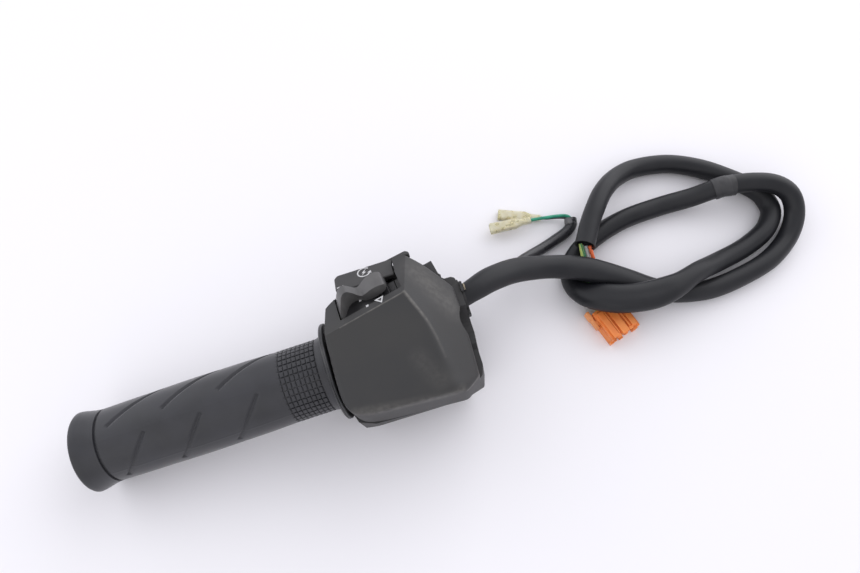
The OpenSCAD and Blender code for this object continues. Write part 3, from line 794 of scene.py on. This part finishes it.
def rubber_grip():
    xs = [0.9, 1.6, 2.4, 3.4, 4.6, 6, 7.4, 8.8, 10, 10.9, 11.05, 11.3, 12.2, 12.45, 12.6, 13.2]
    while xs[-1] < WAFFLE_X - 1.0:
        xs.append(xs[-1] + 0.5)
    for c in range(WAFFLE_COLUMNS):
        xs += [WAFFLE_X + WAFFLE_PITCH * (c + f) for f in (0.0, 0.06, 0.22, 0.28, 0.45, 0.61, 0.78, 0.94)]
    last = WAFFLE_X + WAFFLE_PITCH * WAFFLE_COLUMNS
    xs += [last, last + 0.13, last + 0.5, last + 0.63, 116.2, 116.9, 117.6, 118.4, 119.2]
    steps = [0.0, 0.05, 0.2, 0.25, 0.42, 0.59, 0.76, 0.93]
    around = [(p + f) * 360 / PADS_ROUND for p in range(PADS_ROUND) for f in steps]
    bm = bmesh.new()
    rows = []

    def ring(x, radius_at):
        row = []
        for k, a in enumerate(around):
            r = radius_at(k, a)
            row.append(bm.verts.new((x, r * math.cos(math.radians(a)), r * math.sin(math.radians(a)))))
        rows.append(row)

    for x, r in ((2.0, SLEEVE_IN + 0.05), (0.3, SLEEVE_IN + 0.05), (0.0, 12.0), (0.0, 17.6), (0.25, 18.5)):
        ring(x, lambda k, a, r=r: r)
    for x in xs:
        base = grip_radius(x)
        if 11.1 < x < 12.5:
            base -= 0.95
        in_waffle = WAFFLE_X - 0.01 <= x <= last + 0.6
        f = ((x - WAFFLE_X) / WAFFLE_PITCH) % 1.0 if in_waffle else 0.5
        column_gap = in_waffle and (0.03 < f < 0.25 or x > last + 0.1)

        def radius_at(k, a, x=x, base=base, in_waffle=in_waffle, column_gap=column_gap, f=f):
            r = base
            if in_waffle:
                row_gap = k % 8 in (1, 2)
                if column_gap or row_gap:
                    return r - PAD_GAP_DEPTH
                crown = (1 - ((f - 0.61) / 0.45) ** 2) * 0.07
                return r + crown - 0.05
            if 14 < x < 97:
                r -= slant_depth(x, a)
            for seam in SEAM_ANGLES:
                off = abs((a - seam + 180) % 360 - 180)
                if off < SEAM_HALF_WIDTH and 13 < x < 97.5:
                    r += SEAM_HEIGHT
            return r
        ring(x, radius_at)
    for x, r in ((119.5, 18.0), (119.5, SLEEVE_R + 0.02), (2.0, SLEEVE_R + 0.02)):
        ring(x, lambda k, a, r=r: r)
    skin(bm, [*rows, rows[0]])
    make("grip_rubber_sleeve", bm, BAR, "throttle", "grip_rubber", ["rubber_grip"], 60, flat_ends=False)


def lathe(profile):
    """A ring turned about X from a closed list of (x, radius)."""
    n = 128
    bm = bmesh.new()
    rows = [[bm.verts.new((x, r * math.cos(2 * math.pi * k / n), r * math.sin(2 * math.pi * k / n)))
             for k in range(n)] for x, r in profile]
    skin(bm, [*rows, rows[0]])
    return bm


def throttle_tube():
    inner = SLEEVE_IN
    profile = [(2.2, inner), (2.2, SLEEVE_R), (119.5, SLEEVE_R), (119.5, 21.9), (119.65, 22.5),
               (119.9, 22.85), (120.3, 23.0), (120.55, 22.8), (120.7, 22.75), (120.85, 22.8),
               (121.1, 23.0), (121.4, 22.85), (121.6, 22.5), (121.7, 22.0), (121.7, 13.8),
               (122.1, SLEEVE_R), (126, SLEEVE_R), (126, 17.6), (126.4, 18), (128.8, 18), (129.4, 16),
               (131.6, 16), (132.2, 18), (133.8, 18), (134.4, 16), (136.6, 16), (137.2, 18),
               (139, 18), (139.4, 17.6), (139.4, inner)]
    make("twist_tube", lathe(profile), BAR, "throttle", "tube_plastic", ["throttle_tube"], 30)


# ---- housing shells ----
WALL = 2.4
REAR_OUTLINE = [
    (122.5, -19), (123.4, -24), (126.2, -27.6), (131, -29.9), (149.1, -31.2), (174.2, -32.8),
    (184.6, -24.2), (184.6, -8), (184.6, 8), (185.2, 18.5), (179.7, 26.2), (173, 34), (165, 40),
    (158, 40.6), (131.5, 40), (131.5, 29.4), (127.2, 26.6), (125.4, 25), (123, 9)]
FRONT_OUTLINE = [
    (122.5, -21), (124.5, -26.5), (131.8, -29.4), (148.8, -30.4), (173.5, -31.6), (184.3, -23.3),
    (185.9, -18.8), (186, -13), (187.5, 0), (187.5, 24), (186.6, 27.4), (185, 28.4), (181.8, 28.5),
    (179.8, 30.5), (178.4, 38), (174.6, 37.2), (169.5, 38), (158, 40), (132, 39), (131.5, 30.4),
    (127, 28.4), (124.6, 26.4), (122.5, 9)]
# facets of the rear shell: point, heading and elevation of the normal
TOP_FACET = (APEX, -125, 83)
PANEL_FACET = (APEX, 108.4, 58.7)
SIDE_FACETS = [(APEX, 17.7, 45), ((170, 0, 26.35), 1.4, 44.5), ((171, -9, 25.5), -1.2, 40.4)]
# how crisply each wall of the rear shell meets its neighbours, from its left end anticlockwise
WALL_CRISPNESS = [2.4, 2.4, 1.5, 1.0, 0.85, 0.75, 0.8, 2.0, 3.2, 3.2, 3.2, 3.0, 3.0, 3.0, 3.0]
SCREW_AT = [(148, -21), (175, 24)]
CLAMP_SCREW = (20.2, -0.9)


def pulled_in(outline, w):
    k = w / 32
    return [(154 * k + x * (1 - k), 3 * k + y * (1 - k)) for x, y in outline]


def rear_form(w):
    bm = prism(pulled_in(REAR_OUTLINE, w), 0, 40)
    for p, az, el in (TOP_FACET, PANEL_FACET, *SIDE_FACETS):
        slice_off(bm, p, az, el, w)
    return bm


def blended(a, b, k):
    """The larger of two depths, rounded where they meet; a larger k is crisper."""
    return max(a, b) + math.log(1 + math.exp(-k * abs(a - b))) / k


def wall_planes(outline, crispness):
    """Upright planes through the sides of a convex outline that run anticlockwise."""
    out = []
    for (x0, y0), (x1, y1), k in zip(outline[:-1], outline[1:], crispness):
        out.append((Vector((x0, y0, 0)), Vector((y1 - y0, x0 - x1, 0)).normalized(), k))
    return out


def soft_rear_form():
    """The rear shell's outside with moulded edges, found along rays from a point inside."""
    centre = Vector((153, 2, -4))
    top = (Vector(TOP_FACET[0]), direction(*TOP_FACET[1:]))
    sides = [(Vector(p), direction(az, el)) for p, az, el in SIDE_FACETS]
    walls = wall_planes([*REAR_OUTLINE[-2:], *REAR_OUTLINE[:13], (131, 40)], WALL_CRISPNESS)

    def depth(p):
        """Below 0 inside the form."""
        flat = (p - top[0]).dot(top[1])
        side = blended(blended(*[(p - q).dot(n) for q, n in sides[:2]], 0.8),
                       (p - sides[2][0]).dot(sides[2][1]), 0.8)
        # the ridge between the top and the side grows crisper towards the apex
        crisp = max(0.0, min(1.0, (p.y + 24) / 40))
        d = blended(flat, side, 0.5 + 3.5 * crisp ** 1.5)
        for q, n, k in walls:
            d = blended(d, (p - q).dot(n), k)
        return d

    def reach(way):
        """How far the form extends from the centre along way."""
        planes = [top, *sides, *[(q, n) for q, n, _ in walls]]
        t0, slope = min(((q - centre).dot(n) / way.dot(n), way.dot(n))
                        for q, n in planes if way.dot(n) > 1e-3)
        f0 = depth(centre + t0 * way)
        t1 = t0 - f0 / slope
        for _ in range(5):
            f1 = depth(centre + t1 * way)
            if abs(f1) < 1e-4 or abs(f1 - f0) < 1e-9:
                break
            t0, t1, f0 = t1, t1 - f1 * (t1 - t0) / (f1 - f0), f1
        return t1

    bm = bmesh.new()
    around, levels = 300, 76
    rows = []
    for i in range(levels):
        el = -2 + 90.5 * i / levels
        ways = [direction(360 * k / around, el) for k in range(around)]
        rows.append([bm.verts.new(centre + way * reach(way)) for way in ways])
    skin(bm, rows)
    pole = bm.verts.new(centre + Vector((0, 0, 1)) * reach(Vector((0, 0, 1))))
    for k in range(around):
        bm.faces.new((rows[-1][k], rows[-1][(k + 1) % around], pole))
    bm.faces.new(rows[0][::-1])
    slice_off(bm, (150, 0, 0), 0, -90)
    slice_off(bm, *PANEL_FACET)
    corner = [(110, 50), (110, 25), (125.4, 25), (127.2, 26.6), (131.5, 29.4), (131.5, 50)]
    return minus(bm, prism(corner, -5, 30))


def front_form(w=0.0):
    bm = prism(pulled_in(FRONT_OUTLINE, w), -48, 0)
    under = -(18.75 + 150 * math.sin(TILT)) / math.cos(TILT)
    for p, az, el in (((150, 0, under), 180, -(90 - 6.7)), ((150, -31.5, 0), -90, -16.7),
                      ((150, 40, -12), 90, -37), ((187.5, 0, -18), 0, -25),
                      ((122.5, 0, -24), 180, -37)):
        slice_off(bm, p, az, el, w)
    return bm


def bar_space():
    return [rod_x(11.1, 100, 200), rod_x(SLEEVE_R + 0.4, 119, 126), rod_x(18.7, 122.5 + WALL, 140.4)]


def rear_shell():
    keep = joined(rod_x(14, 140.5, 184), box((120, -40, -5), (122.5 + WALL, 45, 45)),
                  box((140.5, -40, -5), (142.6, 16, 45)), box((166, -40, -5), (168, 24, 45)),
                  box((181.6, -40, -5), (190, 30, 45)),
                  box((-33, 2, -8), (1.5, 22.5, 3), PANEL_IN_BAR),
                  *[rod(4, -2, 45, Matrix.Translation((x, y, 0)), 48) for x, y in SCREW_AT])
    hollow = minus(plus(rear_form(WALL), box((125.5, -24, -3), (180, 26, 0.5))), keep)
    shell = minus(soft_rear_form(), hollow, *bar_space(),
                  *[rod(2, -1, 6.4, Matrix.Translation((x, y, 0)), 32) for x, y in SCREW_AT],
                  box((-31.2, 4, -5.2), (-0.3, 20.6, 20), PANEL_IN_BAR),
                  box((-24.4, 6, -14.4), (-2.6, 18, -5), PANEL_IN_BAR),
                  box((-19.2, -1, -5.2), (11, 22, 20), ROCKER_IN_BAR),
                  box((10.9, 12, -5.2), (20.6, 22, 20), ROCKER_IN_BAR),
                  box((-9.4, 0.8, -14.4), (9.4, 13.2, -5), ROCKER_IN_BAR),
                  rod(7.2, 0, 14, OUTLET_IN_BAR, 48))
    make("rear_case", shell, BAR, "housing", "housing_plastic", ["rear_shell"], 28)


def front_shell():
    def softness(mid):
        return 0.12 if mid.z > -0.2 else 0.8

    outer = rounded(front_form(), 2.2, 4, softness)
    keep = joined(rod_x(14, 140.5, 190), box((120, -40, -60), (122.5 + WALL, 45, 5)),
                  box((140.5, -40, -60), (142.6, 26, 5)), box((160, -40, -60), (162, 12, 5)),
                  box((183.6, -20, -60), (190, 34, 5)),
                  *[rod(5.6, -60, 5, Matrix.Translation((x, y, 0)), 48) for x, y in SCREW_AT],
                  *[rod(6.2, -60, -20, Matrix.Translation((133 + g * 2.5, g * 16.3, 0)), 48)
                    for g in (-1, 1)])
    hollow = minus(plus(front_form(WALL), box((126, -24, -0.5), (180, 30, 3))), keep)
    shell = minus(outer, hollow, *bar_space(),
                  *[rod(2.3, -30, 1, Matrix.Translation((x, y, 0)), 32) for x, y in SCREW_AT],
                  *[rod(4.2, -60, -18, Matrix.Translation((x, y, 0)), 48) for x, y in SCREW_AT],
                  *[rod(4.6, -60, -14, Matrix.Translation((133 + g * 2.5, g * 16.3, 0)), 48)
                    for g in (-1, 1)],
                  rod(2.5, -18, 1, Matrix.Translation((165, 0, 0)), 32),
                  rod(7, 0, 6, OUTLET_IN_BAR, 64), rod(5.6, 0, 14, OUTLET_IN_BAR, 64),
                  box((0.3, 3.5, 0), (12, 11.5, 5), Matrix.Translation((185, 18.5, -4))
                      @ Matrix.Rotation(math.radians(36.3), 4, "Z")),
                  rod(0.85, 184, 189, Matrix.Translation((0, *CLAMP_SCREW)) @ ALONG_X, 24))
    shell = rounded(shell, 0.3, 2, angle=55)
    make("front_case", shell, BAR, "housing", "front_plastic", ["front_shell"], 32)


# ---- switches ----
def spline(points, count):
    """A smooth closed outline through the points, with count steps between each pair."""
    pts = [Vector(p) for p in points]
    n = len(pts)
    out = []
    for i in range(n):
        a, b, c, d = pts[i - 1], pts[i], pts[(i + 1) % n], pts[(i + 2) % n]
        out += [curve_point(a, b, c, d, k / count)[:] for k in range(count)]
    return out


def start_stop_rocker():
    paddle = prism([(-18.3, 3.4), (-18.2, 12), (-16.6, 14), (7.8, 13.6), (14.4, 15.4), (17.8, 16.3),
                    (19.4, 15), (19.6, 12.7), (10.4, 12.7), (10.4, 1.8), (-16.8, 1.8)], -3, 0)
    paddle = rounded(paddle, 0.8, 4, angle=30)
    stem = minus(box((-3, 3.4, -10), (3, 10.6, -2)),
                 rod(1.3, -1, 15, Matrix.Translation((0, 0, -7)) @ Matrix.Rotation(
                     math.radians(-90), 4, "X"), 32))
    make("rocker_paddle", joined(paddle, rounded(stem, 0.3, 2, angle=50)), ROCKER, "rocker",
         "rocker_plastic", ["start_stop_rocker"], 35)
    marks = joined(arc_mark((-3.5, 9.8), 3.0, 0.62, 40, 330), arrow_tip((-3.5, 9.8), 3.0, 330),
                   prism([(-2.2, 12.0), (-4.6, 9.5), (-3.6, 9.3), (-4.9, 7.6), (-2.4, 9.7),
                          (-3.3, 10.0)], 0.0, 0.09),
                   # a thin pale line, 3.2 mm long, near the left end of the paddle
                   prism([(-17.4, 4.3), (-14.2, 4.7), (-14.2, 5.2), (-17.4, 4.9)], 0.0, 0.09))
    make("rocker_mark", marks, ROCKER @ Matrix.Translation((0, 0, 0.01)), "rocker", "rocker_plastic",
         look="paint")


def arc_mark(centre, r, width, a0, a1):
    n = 36
    ring = [(centre[0] + rr * math.cos(math.radians(a)), centre[1] + rr * math.sin(math.radians(a)))
            for rr, sweep_to in ((r + width / 2, 1), (r - width / 2, -1))
            for a in [a0 + (a1 - a0) * k / n for k in range(n + 1)][::sweep_to]]
    return prism(ring, 0.0, 0.09)


def arrow_tip(centre, r, at):
    a = math.radians(at)
    mid = Vector((centre[0] + r * math.cos(a), centre[1] + r * math.sin(a)))
    out, on = Vector((math.cos(a), math.sin(a))), Vector((-math.sin(a), math.cos(a)))
    return prism([tuple(mid + out * 1.1), tuple(mid - out * 1.1), tuple(mid + on * 1.6)], 0.0, 0.09)


def hazard_switch():
    base = joined(soft_box((-30.8, 4.8, -4.6), (-6, 19.2, -2), 0.5),
                  rounded(rod(1.5, -8.6, -4.4, Matrix.Translation((-17, 12, 0)), 32), 0.2, 2, angle=50))
    make("slider_plate", base, PANEL, "hazard_slider", "switch_black", ["hazard_slider_base"], 40)
    profile = spline([(-30.4, -2), (-30.2, 0.5), (-28.4, 3.4), (-26, 5.4), (-23.6, 5.2), (-21.4, 3),
                      (-19.8, 1.4), (-18.2, 1.1), (-16.2, 2.0), (-13.4, 3.2), (-10.2, 3.7), (-7.6, 3.2),
                      (-6.3, 2.2), (-6.3, 0.4), (-9.5, -1), (-15, -1.9), (-22, -2.2)], 6)
    form = prism(profile, 0, 30)
    form.transform(Matrix.Translation((0, 30, 0)) @ Matrix.Rotation(math.radians(90), 4, "X"))
    plan = spline([(-30.7, 5.3), (-28.2, 8.4), (-26.3, 11.8), (-23.6, 13.6), (-20.6, 13.2),
                   (-17.6, 10.4), (-13.5, 8.7), (-8.4, 8.0), (-6.1, 9.4), (-6.0, 16.8), (-7.6, 18.7),
                   (-13, 19), (-19, 18.7), (-25, 19), (-29.4, 17.8), (-30.8, 14)], 6)
    pad = common(form, prism(plan, -4, 9))
    pad = rounded(pad, 0.45, 3, angle=48)
    make("slider_thumb_pad", pad, PANEL, "hazard_slider", "slider_grey", ["hazard_thumb_pad"], 40)
    dot = prism([(-20.8, 11.8), (-19.6, 11.6), (-19.4, 12.9), (-20.6, 13.1)], -1.98, -1.88)
    make("slider_dot", dot, PANEL, "hazard_slider", "switch_black", look="paint")


def panel_marks():
    tri = [(-13.8, 4.7), (-9.3, 4.7), (-10.9, 0.7)]
    mid = [sum(c) / 3 for c in zip(*tri)]
    inner = [(mid[0] + (x - mid[0]) * 0.5, mid[1] + (y - mid[1]) * 0.5) for x, y in tri]
    bm = bmesh.new()
    rings = [[bm.verts.new((x, y, z)) for x, y in ring]
             for ring, z in ((tri, 0.0), (tri, 0.09), (inner, 0.09), (inner, 0.0))]
    skin(bm, [*rings, rings[0]])
    dot = prism([(-18.2, 3.2), (-17.0, 3.1), (-16.9, 4.3), (-18.1, 4.4)], 0.0, 0.09)
    make("panel_marks", joined(bm, dot), PANEL @ Matrix.Translation((0, 0, 0.01)), "housing",
         "housing_plastic", look="paint")


def clamp_and_screw():
    at = Matrix.Translation((0, 18.6, -9))
    ring = rod(7.6, 187.6, 188.9, at @ ALONG_X, 64)
    tail = box((187.6, 8.4, -12), (188.9, 15, -7.6))
    lug = box((187.6, 17.8, -8), (188.9, 22.6, 1.3))
    whole = minus(plus(ring, tail, lug), rod(5.5, 0, 20, OUTLET_IN_BAR, 48),
                  rod(0.9, 186, 191, Matrix.Translation((0, *CLAMP_SCREW)) @ ALONG_X, 24))
    make("clamp_plate", rounded(whole, 0.3, 2, angle=50), BAR, "housing", "carrier_plastic",
         ["harness_clamp"], 40)
    local = Matrix.Translation((0, *CLAMP_SCREW)) @ ALONG_X
    head = minus(rounded(rod(1.7, 188.95, 189.9, local, 40), 0.3, 3, angle=50),
                 box((189.6, CLAMP_SCREW[0] - 0.25, CLAMP_SCREW[1] - 1.2),
                     (190.2, CLAMP_SCREW[0] + 0.25, CLAMP_SCREW[1] + 1.2)))
    make("clamp_screw", joined(head, rod(0.8, 184.2, 189, local, 24)), BAR, "housing", "screw_brass",
         ["harness_clamp_screw"], 40)


def dress_cad_nodes():
    """Hidden and small nodes stay as the CAD drew them, with the finish of their slot; the switch body's
    screws take the black switch finish.
    """
    slots = {p["node"]: p["material_slot"] for p in frame["record"]["subparts"]}
    for name, o in frame["nodes"].items():
        material = MATERIALS["switch_black" if name == "switch_body_screws" else slots[name]]
        if o.material_slots:
            for s in o.material_slots:
                s.material = material
        else:
            o.data.materials.append(material)


camera()
MATERIALS = make_materials()
studio()
wiring()
rubber_grip()
throttle_tube()
rear_shell()
front_shell()
start_stop_rocker()
hazard_switch()
panel_marks()
clamp_and_screw()
dress_cad_nodes()
